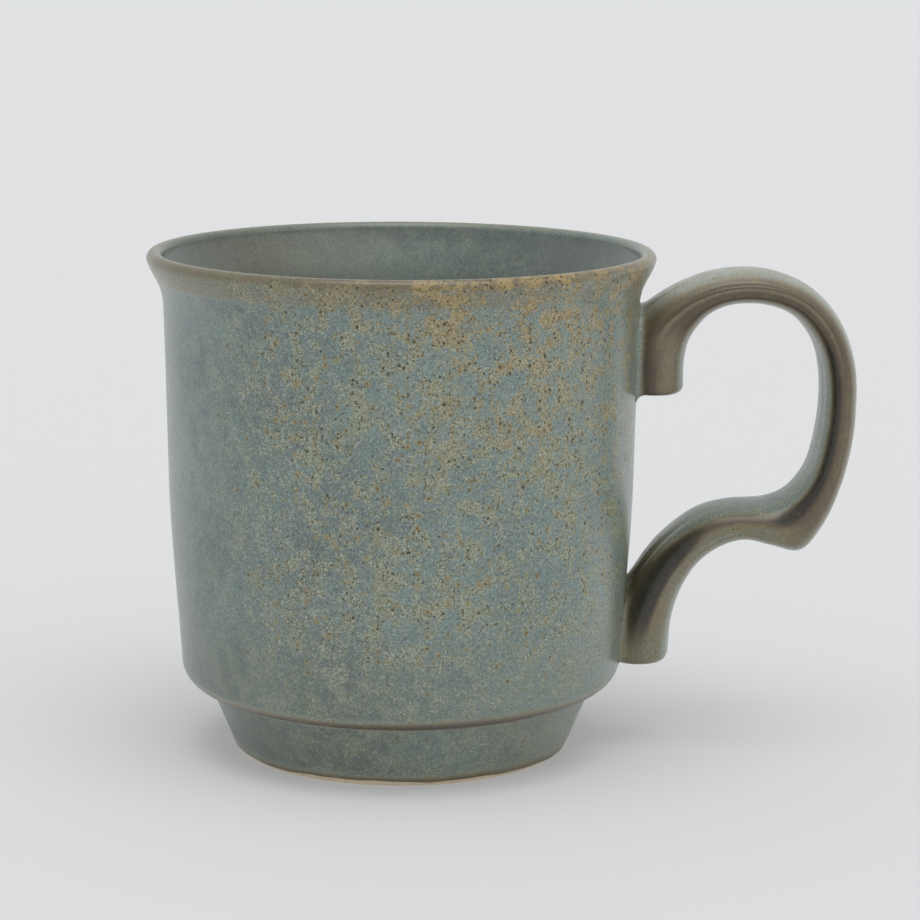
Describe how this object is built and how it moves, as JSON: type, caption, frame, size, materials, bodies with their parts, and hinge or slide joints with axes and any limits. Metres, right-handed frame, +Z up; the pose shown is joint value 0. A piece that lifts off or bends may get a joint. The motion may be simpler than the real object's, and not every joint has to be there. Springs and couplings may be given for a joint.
{
  "type": "ceramic mug",
  "caption": "Straight-walled stoneware mug with a flared lip, a stepped-in foot ring and a scroll strap handle, in a speckled blue-grey glaze.",
  "frame": {"origin": "middle of the whole object's box in X and Y, on the plane that the foot ring stands on", "axes": "+Z up, +X from the cup towards the handle, +Y to the left of someone looking along +X"},
  "size_m": [0.1204, 0.086, 0.0857],
  "materials": {
    "glaze": "semi-matte blue-grey stoneware glaze with fine rust-brown specks",
    "clay": "bare fired buff stoneware",
    "slip": "bare fired slip"
  },
  "bodies": {
    "root": {"cup_body": "clay", "foot_ring": "clay", "foot_slip": "slip", "handle": "clay", "upper_handle_slip": "slip", "lower_handle_slip": "slip", "glaze_coat": "glaze", "handle_glaze": "glaze", "base_glaze": "glaze"}
  },
  "joints": []
}
